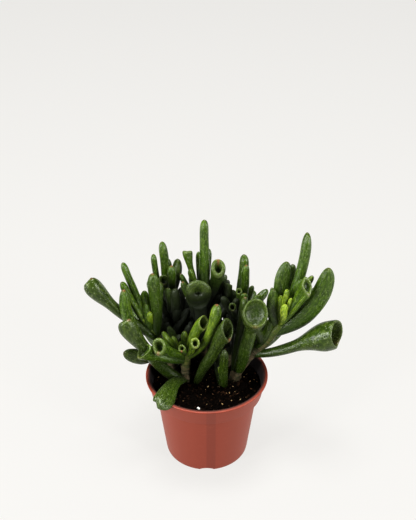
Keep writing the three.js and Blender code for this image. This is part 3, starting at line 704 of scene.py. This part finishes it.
SHOOTS = {
    "front_left_shoot": Shoot(
        [(-15.6, 6, 47), (-15.6, 6, 58), (-15.6, 6, 68), (-14.5, 4, 84)], (4.4, 3.4), 0, [
        spoon(0.3, (-33, -42.5, 68.5), 15.6, 0.8, look=(-60, 60), bend=(0, 0, 6), thick=0.4, club=0.6,
            blunt=0.5, notch=4, side=0.5, blush=0),
        finger(0.86, (7, -6, 131), 9.2, 0.24, bend=(4, -2.5, -6.5), club=0.74, blush=0.9),
        trumpet(0.80, (-44.5, -14, 97.5), 7.6, 8.6, (-135, 62), 0.55, bend=(0, 0, -3), tall=1.5, deep=0.3,
            rim=0.06),
        trumpet(0.84, (-34, -14, 101), 7.6, 10.6, (-110, 20), 0.4, bend=(-1, 0, -1), tall=1.25, deep=0.5,
            rim=0.11, blush=0.5),
        trumpet(0.90, (-8, -10, 101), 5, 7, (-80, 20), 0.12, tall=1.25, rim=0.12, deep=0.7),
        finger(0.92, (-16, 2, 103), 5.4, YOUNG),
        trumpet(0.95, (-18, -8, 95), 4.2, 5.8, (-90, 20), 0.3, blush=1, rim=0.13),
        trumpet(0.90, (-2, -4, 114.5), 7.6, 9, (-50, 15), 0.15, tall=1.2, deep=1.1, point=0.3, rim=0.07),
        finger(0.92, (-25, 4, 97), 4.8, 0.15),
        finger(0.88, (-32, 4, 101), 5.6, 0.25),
        spoon(0.88, (-28, 11, 101), 6, 0.3),
        finger(0.97, (-20, 5, 93), 4, YOUNG),
        trumpet(0.45, (-57, -12, 121.5), 9, 9.6, (140, 52), OLD, bend=(-3, -1, -5), base=0.9, blunt=0.75,
            bulb=0.45, deep=0.2, rim=0.08, pull=0, point=0.1, blush=0.6, seam=90, start=(-19.3, 5, 57)),
        trumpet(0.40, (15, -9, 112.5), 9.6, 12.6, (-35, 15), OLD, bend=(-1.5, 0, -4), tall=1.4, deep=0.8,
            rim=0.06, point=0.3, blush=0.6, start=(-8, 3, 55)),
    ]),
    "left_shoot": Shoot(
        [(-24, 13, 47), (-24, 13, 58), (-31, 13, 78), (-43, 12, 101)], (4.2, 3), 5, [
        trumpet(0.84, (-82.5, 1, 145.5), 8, 8.6, (160, 38), 0.95, bend=(-1.5, 0, -2), base=0.95,
            blunt=0.75, bulb=0.6, deep=0.15, rim=0.1, pull=0, point=0.2, blush=0.5, seam=90),
        finger(0.97, (-59, 14, 153), 6, 0.5),
        finger(0.80, (-58, 2, 138), 9.6, 0.35, bend=(-2, 0, 0), base=0.9, blunt=1.6, blush=0.8,
            start=(-50.3, 8, 94)),
        finger(0.93, (-60, 9, 140), 6.4, 0.35),
        spoon(0.72, (-61, 3, 83), 13, 0.9, bend=(-1, 0, -3), thick=0.6),
        finger(0.97, (-41, 9, 115), 5.6, 0),
        finger(0.97, (-45, 15, 129), 7.4, 0.55),
        finger(0.94, (-44, 12, 120), 7.8, 0.5),
        finger(0.97, (-41, 18, 123), 5, 0.25),
        finger(0.86, (-38, 9, 147), 8.6, 0.6, bend=(1.5, 0, 0), blush=0.6),
        finger(0.90, (-33, 15, 136), 6, 0.65),
        finger(0.95, (-52, 22, 124), 6, 0.5),
        shaded(0.6, (-30.5, 28, 106), 9),
        shaded(0.45, (-34.7, 22, 101), 8),
        shaded(0.5, (-29, 20, 98.6), 8),
        shaded(0.4, (-38, 24, 90), 8),
        shaded(0.35, (-26, 16, 88), 8),
        trumpet(0.80, (-62, 36, 104), 7.4, 10.5, (140, 20), 0.7),
        finger(0.66, (-52, 44, 84), 7.6, 0.75),
    ]),
    "back_left_shoot": Shoot(
        [(-17, 22, 47), (-17, 22, 58), (-22, 26, 85), (-28, 27, 110)], (4, 3), 8, [
        finger(0.93, (-32, 29, 161.5), 6.8, 0.55, bend=(0, 0, 0), club=1.12),
        finger(0.95, (-29, 36, 144), 6, 0.7),
        finger(0.92, (-38, 26, 153), 5.2, 0.5, bend=(-3, 0, 0)),
        finger(0.95, (-25, 18, 148), 6.4, 0.3, blush=0.9),
        finger(0.97, (-21, 35, 144), 8, 0.8),
        trumpet(0.97, (-31, 20, 135), 6.2, 8.4, (-90, 10), 0.8),
        spoon(0.88, (-28, 14, 132), 7, 0.65, bend=(0, -2, -2)),
        shaded(0.80, (-22, 16, 115), 6.6, bend=(1, -2, -2)),
        shaded(0.86, (-35, 24, 112), 6.6),
        finger(0.88, (-44, 40, 122), 7, 0.6),
        trumpet(0.80, (-38, 57, 106), 7.2, 10.4, (110, 25), 0.6),
        finger(0.74, (-22, 60, 98), 8.4, 0.75, bend=(0, 3, -5)),
        finger(0.92, (-30, 44, 126), 6, 0.4),
        shaded(0.60, (-14, 36, 110), 8),
        shaded(0.56, (-31, 26, 98), 8),
    ]),
    "centre_shoot": Shoot(
        [(-3, 20, 47), (-3, 20, 58), (-3, 22, 85), (-3, 24, 114)], (4.2, 3.2), 9, [
        finger(0.93, (-1.5, 25, 181), 6.8, 0.5, bend=(0, 0, 0), club=1.3, base=1),
        trumpet(0.95, (-14, 29, 154), 4.2, 7.4, (90, 70), 0.45, tall=0.9, flare=0.68, rim=0.14),
        finger(0.95, (-12, 18, 145), 5.2, 0.25),
        finger(0.95, (1, 33, 154), 6.4, 0.6),
        finger(0.95, (-6, 35, 150), 4.4, 0.6),
        finger(0.90, (-19, 22, 139), 4.8, 0.5, blush=0.8),
        trumpet(0.50, (-6, 6, 134), 9.6, 19, (-85, -4), OLD, bend=(0, -1, -2), tall=1.1, flare=0.66,
            full=0.95, deep=0.16, rim=0.18, pull=0.03, point=0, under=0.55, blush=0),
        finger(0.70, (-17, 11, 139), 6, 0.7, blush=0.7),
        trumpet(0.86, (8.4, 20, 146), 8.8, 10.6, (-85, 30), 0.5, bend=(1, 0, -2), tall=1.2, deep=0.5,
            rim=0.13, point=0.35, blush=0.7, red=90),
        finger(0.84, (14, 29, 134), 6, 0.7),
        shaded(0.80, (10, 24, 122), 6.8),
        shaded(0.74, (4, 15, 106), 6.4, bend=(1, -1, -2)),
        shaded(0.66, (-12, 14, 103), 6.6, bend=(-1, -1, -2)),
        trumpet(0.72, (-4, 58, 110), 8.4, 12.6, (95, 25), 0.7, bend=(0, 3, -5)),
        finger(0.80, (-12, 46, 124), 6.8, 0.5, bend=(0, 2, -3)),
        finger(0.62, (8, 57, 92), 8, 0.75, bend=(0, 4, -4)),
        shaded(0.56, (-13, 27, 106), 8),
        shaded(0.60, (13, 20, 117), 8),
        shaded(0.42, (-10, 9, 92), 7.6, bend=(-1, -2, -3)),
        shaded(0.55, (8, 31, 110), 8),
    ]),
    "back_right_shoot": Shoot(
        [(15, 23, 47), (15, 23, 58), (19, 25, 85), (26, 26, 108)], (4, 3), 8, [
        finger(0.95, (27, 29, 151), 7.2, 0.7, bend=(0, 0, 0), blunt=0.8),
        finger(0.95, (28, 19, 148), 6, 0.45, bend=(1, 0, 0), blush=0.9),
        trumpet(0.90, (23, 13, 130), 4, 5, (-90, 20), 0.4, rim=0.12, deep=0.6),
        trumpet(0.80, (18.5, 9, 119), 4.6, 5.8, (-90, 20), 0.6, tall=1.2, rim=0.12, deep=0.9),
        spoon(0.86, (27, 13, 128), 6.2, 0.35, blunt=0.4, blush=0.5),
        finger(0.95, (34, 30, 124), 5.4, 0.6),
        finger(0.88, (19, 24, 124), 6.4, 0.8),
        trumpet(0.84, (15.5, 23, 130), 6.6, 7, (60, 50), 0.8),
        shaded(0.72, (26, 17, 103), 7, bend=(1, -1, -2)),
        shaded(0.78, (14, 17, 101), 6.6, bend=(-1, -1, -2)),
        spoon(0.84, (40, 24, 116), 8.6, 0.35),
        finger(0.86, (46, 44, 112), 7.2, 0.6),
        trumpet(0.76, (34, 60, 100), 7.6, 11, (70, 25), 0.7, bend=(0, 2, -4)),
        finger(0.66, (20, 58, 90), 8.2, 0.75, bend=(0, 4, -4)),
        finger(0.90, (26, 46, 120), 6.4, 0.45),
        shaded(0.52, (16, 38, 100), 8),
        shaded(0.60, (13, 29, 116), 7.6),
    ]),
    "right_shoot": Shoot(
        [(22, 6, 47), (22, 6, 62), (31, 8, 76), (42, 8, 88), (54, 6, 108)], (5, 3.2), 3, [
        trumpet(0.28, (34, -8, 125), 10.2, 18.4, (-92, 24), 0.75, bend=(2, 0, 0), tall=1.14, base=0.85,
            flare=0.66, full=0.93, bulb=0.03, deep=0.24, rim=0.04, pull=0.04, point=0.1, blush=0.2),
        finger(0.20, (27.5, 8, 128), 7.8, 0.9, bend=(-1, 2, 0), base=0.9, blush=0.5),
        trumpet(0.55, (92, -9, 108), 8.8, 20, (-32, 16), 0.85, bend=(1, 0, -5), tall=1.05, base=0.7,
            flare=0.5, full=0.86, bulb=0.06, deep=0.7, rim=0.045, pull=0.16, point=0.16, seam=-70,
            blush=0.2),
        spoon(0.88, (83.5, 0, 157), 13.8, 0.5, bend=(7, 0, -6), blunt=1.5),
        finger(0.97, (69, 12, 178), 8.4, 0.6, bend=(3.5, 0, 2), blunt=1.6),
        spoon(0.97, (56, 12, 155), 11.2, 0.55, bend=(-1, 0, 0), blunt=1.2),
        finger(0.97, (61, 17, 150), 7, 0.8, bend=(1, 0, 0)),
        trumpet(0.96, (69, -5, 146), 8.2, 7.2, (-66, 30), 0.35, bend=(2, -1, 0), tall=1.7, deep=0.35,
            rim=0.09, point=0.3),
        spoon(0.97, (67, 3, 146), 8.4, 0.35),
        finger(0.97, (74, 6, 147), 5, 0.2),
        spoon(0.93, (47, 2, 138), 8, 0.55, bend=(-2, 0, 0), blunt=1.1),
        finger(0.95, (46, 8, 136), 5.6, 0.6),
        finger(0.97, (55, -3, 129), 5.8, TENDER),
        finger(0.97, (52, 4, 132), 5, 0),
        finger(0.98, (56, 1, 139), 5, 0),
        spoon(0.97, (68, -7, 139), 4.6, 0.25, look=(-30, 0), thick=0.7),
        finger(0.98, (59, -1, 133), 3.6, TENDER),
        finger(0.60, (46, 7, 110), 7.4, 0.75, bend=(2, 0, 0)),
        spoon(0.60, (37, 13, 127), 10, 0.3),
        shaded(0.56, (42, 13, 112), 7),
        finger(0.72, (64, 26, 112), 8, 0.65),
        finger(0.64, (60, 30, 92), 7.6, 0.7, bend=(0, 2, -4)),
        finger(0.90, (72, 20, 132), 7, 0.5),
        trumpet(0.82, (82, 24, 122), 7.6, 11.4, (35, 25), 0.6),
    ]),
    "small_sprout": Shoot(
        [(12, 0, 47), (12, 0, 56), (11.5, 0.5, 64)], (3.2, 2.6), 0, [
        finger(0.3, (12, -5, 92), 6.6, 0.78, bend=(0.5, -1, 0), base=1.05, blunt=1.2, blush=0),
        shaded(0.4, (7.5, 6, 84), 7.2, bend=(-0.5, 1, 0), base=0.9, blush=0),
        shaded(0.5, (5, 5, 76), 5.6, base=0.9, blush=0),
    ]),
}


class StemLine:
    """A smooth line through a stem's points, with knots spaced by the root of their distance."""

    def __init__(self, points):
        inner = [Vector(point) for point in points]
        self.points = [2 * inner[0] - inner[1], *inner, 2 * inner[-1] - inner[-2]]

    def point(self, share):
        spans = len(self.points) - 3
        span = min(int(share * spans), spans - 1)
        local = share * spans - span
        before, start, end, after = self.points[span:span + 4]
        gaps = [math.sqrt((b - a).length) for a, b in ((before, start), (start, end), (end, after))]
        leave = ((start - before) / gaps[0] - (end - before) / (gaps[0] + gaps[1])
                 + (end - start) / gaps[1]) * gaps[1]
        arrive = ((end - start) / gaps[1] - (after - start) / (gaps[1] + gaps[2])
                  + (after - end) / gaps[2]) * gaps[1]
        square, cube = local ** 2, local ** 3
        return (start * (2 * cube - 3 * square + 1) + leave * (cube - 2 * square + local)
                + end * (3 * square - 2 * cube) + arrive * (cube - square))

    def direction(self, share):
        low, high = max(share - 0.005, 0), min(share + 0.005, 1)
        return (self.point(high) - self.point(low)).normalized()


def facing(heading, lift):
    """A direction, from degrees round +X towards +Y and degrees of lift."""
    turn, rise = math.radians(heading), math.radians(lift)
    return Vector((math.cos(turn) * math.cos(rise), math.sin(turn) * math.cos(rise), math.sin(rise)))


LINE_POINTS = 40
# How far before its mouth a line turns towards its look, over the mouth's width, and by what share
MOUTH_LEAD = 0.8
MOUTH_TURN = 0.75


class LeafLine:
    """The middle line of a leaf, walked by shares of its length. Where the leaf ends in a mouth,
    the line turns to come out of it."""

    def __init__(self, leaf, root, look):
        tip = Vector(leaf.tip)
        middle = (root + tip) / 2 + 2 * Vector(leaf.bend)
        arrive = tip.lerp(middle, 2 / 3)
        if leaf.mouth:
            arrive = arrive.lerp(tip - look * leaf.mouth * MOUTH_LEAD, MOUTH_TURN)
        self.points = interpolate_bezier(root, root.lerp(middle, 2 / 3), arrive, tip, LINE_POINTS)
        self.walked = [0]
        for start, end in zip(self.points, self.points[1:]):
            self.walked.append(self.walked[-1] + (end - start).length)
        self.length = self.walked[-1]

    def point(self, share):
        goal = min(max(share, 0), 1) * self.length
        span = min(max(bisect(self.walked, goal), 1), LINE_POINTS - 1)
        low, high = self.walked[span - 1], self.walked[span]
        return self.points[span - 1].lerp(self.points[span], (goal - low) / (high - low))

    def direction(self, share):
        return (self.point(share + 0.03) - self.point(share - 0.03)).normalized()


@dataclass
class Station:
    """One ring of a leaf: its share of the length, its half width and what the skin reads there."""
    along: float
    radius: float
    rim: float = 0
    cup: float = 0


FINGER_PARTS = (0, 0.06, 0.14, 0.24, 0.36, 0.5, 0.64, 0.78, 0.9)
FINGER_ARC = (0, 22, 40, 55, 67, 77)
DIMPLE_DEPTH = 0.35


def finger_stations(leaf, length):
    """A finger swells from its base, ends in a half round and has a small dimple at its tip."""
    end = min(leaf.blunt * leaf.width / length, 0.6)

    def share(along):
        swell = lerp(leaf.base, 1, smoothstep(along, 0, 0.4))
        club = lerp(leaf.club, 1, smoothstep(along, 0.3, 0.85))
        past = max((along - 1 + end) / end, 0)
        return swell * club * math.sqrt(max(1 - past ** 2, 0))

    stations = [Station(part * (1 - end), share(part * (1 - end)) * leaf.width / 2)
                for part in FINGER_PARTS]
    for turn in FINGER_ARC:
        along = 1 - end + end * math.sin(math.radians(turn))
        stations.append(Station(along, share(along) * leaf.width / 2, smoothstep(turn, 64, 88)))
    dimple = Station(1 - DIMPLE_DEPTH / length, leaf.width * 0.02, 1)
    return stations + [Station(1.0, leaf.width * 0.05, 1), dimple]


WALL_PARTS = (0, 0.06, 0.14, 0.23, 0.33, 0.43, 0.53, 0.62, 0.7, 0.77, 0.83, 0.88, 0.92, 0.95, 0.975, 0.99)
HEAD_SWELLS = (0.64, 0.87)
HEAD_SHRINKS = (0.9, 1.04)
LIP_ARC = (0, 40, 75, 105, 140, 180)
CUP_ARC = (18, 36, 52, 66, 78, 87)


def trumpet_stations(leaf, length):
    """The wall swells into the mouth, rolls over a thick lip and goes down into the cup. The
    lip of a shallow cup rolls down less."""
    rim = leaf.mouth / 2
    lip = leaf.rim * leaf.mouth
    settle = min(1, leaf.deep * 2.5)
    outer = 1 - lip / length
    head = leaf.blunt * leaf.width / length

    def wall(along):
        body = lerp(leaf.base, 1, smoothstep(along, 0, 0.5)) * leaf.width / 2
        hump = smoothstep(along, *HEAD_SWELLS) * (1 - smoothstep(along, *HEAD_SHRINKS))
        swollen = body * (1 + leaf.bulb * hump)
        if leaf.mouth < leaf.width:
            past = min(max((along - outer + head) / head, 0), 1)
            return lerp(rim, swollen, math.sqrt(1 - past ** 2))
        return lerp(swollen, rim * (1 + leaf.bulb * hump), smoothstep(along, leaf.flare, leaf.full * outer))

    stations = []
    for part in WALL_PARTS:
        along = part * outer
        stations.append(Station(along, wall(along), smoothstep(along, outer - 0.03, 1) * 0.5))
    for turn in LIP_ARC:
        roll = math.radians(turn)
        drop = lip * (1 - math.sin(roll)) * (settle if turn > 90 else 1)
        stations.append(Station(1 - drop / length, rim - lip * (1 - math.cos(roll)), 1, turn / 900))
    # The cup mark grows deeper into the cup, and the skin paints shade by it
    for turn in CUP_ARC:
        down = math.radians(turn)
        along = 1 - (lip * settle + leaf.deep * leaf.mouth * math.sin(down)) / length
        radius = min((rim - 2 * lip) * math.cos(down) ** 0.85, wall(along) - 0.6)
        stations.append(Station(along, max(radius, 0.1), 1 - smoothstep(turn, 0, 40),
                                smoothstep(turn, 0, 60) * settle))
    return stations


# Angles round a leaf are in radians, and the rest are shares of its width or radius
SEAM_ANGLE = 0.5
GROOVE_ANGLE = 0.28
BLUSH_ANGLE = 0.24
GROOVE_DEPTH = 0.08
THREE_SIDED = 0.022
DENT_WIDTH = 0.16
LEAF_SWAY = 0.3


def hill(distance, width):
    """1 in the middle, and falling away like a bell."""
    return math.exp(-(distance / width) ** 2)


def leafy_bmesh():
    """An empty bmesh with the layers that the leaf skin reads."""
    bm = bmesh.new()
    bm.verts.layers.float_vector.new("skin")
    for name in MARKS:
        bm.verts.layers.float.new(name)
    return bm


class Tube:
    """A closed body of rings, made in a bmesh of its own."""

    def __init__(self, sides):
        self.bm = leafy_bmesh()
        self.sides = sides
        self.rings = []
        self.skin = self.bm.verts.layers.float_vector["skin"]
        self.marks = {name: self.bm.verts.layers.float[name] for name in MARKS}

    def ring(self, centre, across, over, radius, depth):
        """A closed ring set square to across and over."""
        turn = Matrix((across, over, across.cross(over))).transposed()
        place = Matrix.Translation(centre) @ (turn @ Matrix.Diagonal((radius, radius * depth, 1))).to_4x4()
        verts = bmesh.ops.create_circle(self.bm, cap_ends=False, segments=self.sides, radius=1,
                                        matrix=place)["verts"]
        self.rings.append(list(dict.fromkeys(edge for vert in verts for edge in vert.link_edges)))
        return verts

    def mark(self, vert, skin, **marks):
        vert[self.skin] = skin
        for name, value in marks.items():
            vert[self.marks[name]] = value

    def join_to(self, bm):
        """Closes the rings into a body and adds it to a larger bmesh."""
        for low, high in zip(self.rings, self.rings[1:]):
            bmesh.ops.bridge_loops(self.bm, edges=low + high)
        for end in (self.rings[0], self.rings[-1]):
            bmesh.ops.edgeloop_fill(self.bm, edges=end)
        add_to(bm, self.bm)


def add_leaf(bm, leaf, stem, sides, unevenness, seed):
    """Sets a leaf's rings along its bent line."""
    root, tip = Vector(leaf.start or stem.point(leaf.at)), Vector(leaf.tip)
    chord = (tip - root).normalized()
    look = facing(*leaf.look) if leaf.look else Vector((tip.x - root.x, tip.y - root.y, 0))
    upright = UP if leaf.mouth or not leaf.look else chord
    side = upright.cross(look).normalized()
    line = LeafLine(leaf, root, look)
    stations = trumpet_stations(leaf, line.length) if leaf.mouth else finger_stations(leaf, line.length)
    seam = math.radians(leaf.seam)
    reddest = seam if leaf.red is None else math.radians(leaf.red)
    tube = Tube(sides)
    for station in stations:
        along = station.along
        centre, axis = line.point(along), line.direction(along)
        sway = math.sin(math.pi * along) * leaf.width * LEAF_SWAY
        depth, near_lip = leaf.thick, 0
        if leaf.mouth:
            turned = smoothstep(along, 0.6, 0.97)
            near_lip = smoothstep(along, 0.78, 1)
            axis = axis.lerp(look, turned).normalized()
            depth = lerp(leaf.thick, leaf.tall, turned)
        across = (side - axis * side.dot(axis)).normalized()
        over = axis.cross(across)
        wander = noise.noise_vector(Vector((along * 1.6, seed * 3.7, 0)))
        centre = centre + (across * wander.x + over * wander.y) * sway
        for vert in tube.ring(centre, across, over, station.radius, depth):
            out = vert.co - centre
            angle = math.atan2(out.dot(over) / depth, out.dot(across))
            turn = math.remainder(angle - seam, 2 * math.pi)
            seamed = hill(turn, SEAM_ANGLE)
            spot = Vector((math.cos(angle), math.sin(angle), along * line.length * 0.07 + seed * 7.3))
            uneven = noise.noise(spot * 1.3) * unevenness * 2 + math.cos(3 * angle + seed) * THREE_SIDED
            groove = hill(turn, GROOVE_ANGLE) * GROOVE_DEPTH * smoothstep(along, 0.05, 0.4)
            groove *= 1 - smoothstep(along, 0.8, 0.93)
            vert.co += out * (uneven * smoothstep(along, 0, 0.2) - groove)
            vert.co -= axis * (seamed * leaf.pull * leaf.mouth * near_lip)
            vert.co += out * (seamed * leaf.point * near_lip)
            if leaf.notch:
                aside = out.dot(across) * 2 / leaf.width - leaf.side
                vert.co -= axis * leaf.notch * hill(aside, DENT_WIDTH) * smoothstep(along, 0.8, 1)
            reach = station.radius if station.cup else leaf.width / 2
            skin = (math.cos(angle) * reach + seed * 3.1, math.sin(angle) * reach,
                    along * line.length + seed * 17.0)
            red = math.remainder(angle - reddest, 2 * math.pi)
            blush = leaf.blush * (hill(red, BLUSH_ANGLE) if leaf.mouth else 1)
            pale = station.rim * lerp(1, 0.12, leaf.age) if leaf.mouth else 0
            # Painted shade: the underside is given an older age, which darkens it
            below = smoothstep(-math.sin(angle), -0.3, 0.8)
            tube.mark(vert, skin, age=leaf.age + leaf.under * below, along=along, rim=pale,
                      blush=min(station.rim * blush, 1), cup=station.cup)
    tube.join_to(bm)


STEM_RINGS = 30
STEM_JOINT = 5.5


def add_stem(bm, stem, radii, sides, seed):
    """A stem of short joints, each with the swollen ring that old leaves left."""
    tube = Tube(sides)
    length = (stem.points[-2] - stem.points[1]).length
    for step in range(STEM_RINGS + 1):
        share = step / STEM_RINGS
        centre, axis = stem.point(share), stem.direction(share)
        across = axis.cross(Vector((0, -1, 0))).normalized()
        over = axis.cross(across)
        height = share * length
        joint = height / STEM_JOINT % 1
        radius = lerp(*radii, share) * (0.95 + 0.12 * hill(joint - 0.5, 0.16))
        if step in (0, STEM_RINGS):
            radius *= 0.7
        for vert in tube.ring(centre, across, over, radius, 1):
            out = vert.co - centre
            vert.co += out * noise.noise(vert.co * 0.35 + Vector((0, 0, seed))) * 0.12
            tube.mark(vert, (out.x + seed * 5.3, out.y, height), age=0.3, along=0.5,
                      bark=1 - 0.75 * smoothstep(share, 0.6, 1))
    tube.join_to(bm)


LEAF_SEED = 5
GOLDEN_TURN = math.radians(137.5)
TURN_SCATTER = 0.3
HEART_LEAVES = 5
HEART_PLACE = 0.985
HEART_LENGTHS = (6, 10)
HEART_WIDTHS = (2.6, 3.6)
HEART_AGES = (0, 0.15)
INNER_PLACES = (0.4, 0.9)
INNER_LENGTHS = (26, 38)
INNER_WIDTHS = (6, 8)
# The inner leaves' ages lie past OLD, so they are painted in shade
INNER_SHADES = (1.1, DARK)
PLANT_MIDDLE = Vector((0, 24, 0))


def heart_leaves(stem, rng):
    """The few tiny leaves that open at a shoot's growing tip."""
    top, upward = stem.point(1), stem.direction(1)
    for index in range(HEART_LEAVES):
        angle = index * GOLDEN_TURN + rng.uniform(-TURN_SCATTER, TURN_SCATTER)
        lean = Vector((math.cos(angle), math.sin(angle), 0)) * rng.uniform(0.25, 0.6)
        tip = top + (upward + lean).normalized() * rng.uniform(*HEART_LENGTHS)
        yield finger(HEART_PLACE, tip, rng.uniform(*HEART_WIDTHS), rng.uniform(*HEART_AGES),
                     bend=(0, 0, -0.5), blush=0.3)


def inner_leaves(stem, count, rng):
    """Shaded leaves lower on a stem, which lean into the middle of the plant."""
    for index in range(count):
        at = lerp(*INNER_PLACES, index / count)
        root = stem.point(at)
        angle = index * GOLDEN_TURN + rng.uniform(-TURN_SCATTER, TURN_SCATTER)
        inward = (PLANT_MIDDLE - Vector((root.x, root.y, 0))).normalized()
        lean = Vector((math.cos(angle), math.sin(angle), 0)) * 0.45 + inward * 0.3
        tip = root + (UP + lean).normalized() * rng.uniform(*INNER_LENGTHS)
        yield finger(at, tip, rng.uniform(*INNER_WIDTHS), rng.uniform(*INNER_SHADES), blush=0.1)


class JADE_OT_shoots(bpy.types.Operator):
    """Makes the seven leafy shoots, each a piece with its stem and its leaves"""
    bl_idname = "trumpet_jade.shoots"
    bl_label = "Shoots"

    def execute(self, context):
        look = context.scene.trumpet_jade_leaf
        material = leaf_skin(look)
        rng = random.Random(LEAF_SEED)
        # Without a seed, noise_vector gives other values at each start of Blender
        noise.seed_set(LEAF_SEED)
        seed = 0
        for node, shoot in SHOOTS.items():
            stem = StemLine(shoot.stem)
            bm = leafy_bmesh()
            seed += 1
            add_stem(bm, stem, shoot.radii, look.sides, seed)
            for leaf in (*shoot.leaves, *heart_leaves(stem, rng), *inner_leaves(stem, shoot.inner, rng)):
                seed += 1
                add_leaf(bm, leaf, stem, look.sides, look.unevenness, seed)
            name = node.replace("_shoot", "") + "_foliage"
            piece = finish_piece(bm, name, material, [node])
            smooth = piece.modifiers.new("smooth", "SUBSURF")
            smooth.levels = look.smoothing
            smooth.render_levels = look.smoothing
        return {"FINISHED"}


# Stage

TARGET = Vector((0.9, 0, 163.2)) * MM
FLOOR_SIZE = 14
# The place and size of each light in metres, its power in watts and the point that it faces
SOFTBOXES = {
    "left_softbox": ((-0.95, -0.80, 0.55), (0.22, 0.70), 19, (0, 0, 0.09)),
    "right_softbox": ((0.98, -0.76, 0.52), (0.20, 0.70), 14, (0, 0, 0.09)),
    "overhead_softbox": ((-0.1, 0.1, 1.6), (0.6, 0.6), 46, (0, 0, 0)),
    "left_strip": ((-0.55, -0.16, 0.20), (0.16, 0.26), 1.8, (0, 0, 0.10)),
    "right_strip": ((0.55, -0.16, 0.20), (0.16, 0.26), 1.6, (0, 0, 0.10)),
}


def add_softbox(name, place, size, power, aim):
    light = bpy.data.lights.new(name, "AREA")
    light.shape = "RECTANGLE"
    light.size, light.size_y = size
    light.energy = power
    softbox = bpy.data.objects.new(name, light)
    softbox.location = place
    softbox.rotation_euler = (Vector(aim) - Vector(place)).to_track_quat("-Z", "Y").to_euler()
    softbox.visible_camera = False
    bpy.context.scene.collection.objects.link(softbox)


class JADE_OT_stage(bpy.types.Operator):
    """Makes the pale floor, the soft studio light and the camera"""
    bl_idname = "trumpet_jade.stage"
    bl_label = "Stage"

    def execute(self, context):
        stage = context.scene.trumpet_jade_stage
        bm = bmesh.new()
        bmesh.ops.create_grid(bm, x_segments=1, y_segments=1, size=FLOOR_SIZE / 2)
        floor = make_object(bm, "floor")
        floor.data.materials.append(studio_floor(stage))

        for name, softbox in SOFTBOXES.items():
            add_softbox(name, *softbox)
        world = bpy.data.worlds.new("studio")
        world.use_nodes = True
        backing = world.node_tree.nodes["Background"]
        backing.inputs["Color"].default_value = (1, 1, 0.99, 1)
        backing.inputs["Strength"].default_value = stage.surroundings
        context.scene.world = world
        context.scene.view_settings.view_transform = "Standard"
        context.scene.view_settings.gamma = stage.contrast

        camera = bpy.data.cameras.new("camera")
        camera.lens = stage.lens
        camera.clip_start = 0.01
        viewer = bpy.data.objects.new("camera", camera)
        away = Vector((0, -math.cos(stage.elevation), math.sin(stage.elevation)))
        viewer.location = TARGET + away * stage.distance
        viewer.rotation_euler = (math.pi / 2 - stage.elevation, 0, 0)
        context.scene.collection.objects.link(viewer)
        context.scene.camera = viewer
        return {"FINISHED"}


# Panel and registration

SETTINGS = {
    "trumpet_jade_pot": PotSettings,
    "trumpet_jade_soil": SoilSettings,
    "trumpet_jade_leaf": LeafSettings,
    "trumpet_jade_stage": StageSettings,
}
OPERATORS = (JADE_OT_pot, JADE_OT_soil, JADE_OT_soil_pieces, JADE_OT_shoots, JADE_OT_stage)


class JADE_PT_sidebar(bpy.types.Panel):
    """The trumpet jade's settings and the buttons that make its pieces"""
    bl_idname = "JADE_PT_sidebar"
    bl_label = "Trumpet jade"
    bl_space_type = "VIEW_3D"
    bl_region_type = "UI"
    bl_category = "Trumpet jade"

    def draw(self, context):
        for name, settings in SETTINGS.items():
            box = self.layout.box()
            for setting in settings.__annotations__:
                box.prop(getattr(context.scene, name), setting)
        for operator in OPERATORS:
            self.layout.operator(operator.bl_idname)


CLASSES = (*SETTINGS.values(), *OPERATORS, JADE_PT_sidebar)


def register():
    for made in CLASSES:
        bpy.utils.register_class(made)
    for name, settings in SETTINGS.items():
        setattr(bpy.types.Scene, name, PointerProperty(type=settings))


def unregister():
    for name in SETTINGS:
        delattr(bpy.types.Scene, name)
    for made in reversed(CLASSES):
        bpy.utils.unregister_class(made)


def main():
    register()
    bpy.ops.trumpet_jade.pot()
    bpy.ops.trumpet_jade.soil()
    bpy.ops.trumpet_jade.soil_pieces()
    bpy.ops.trumpet_jade.shoots()
    bpy.ops.trumpet_jade.stage()


if __name__ == "__main__":
    main()
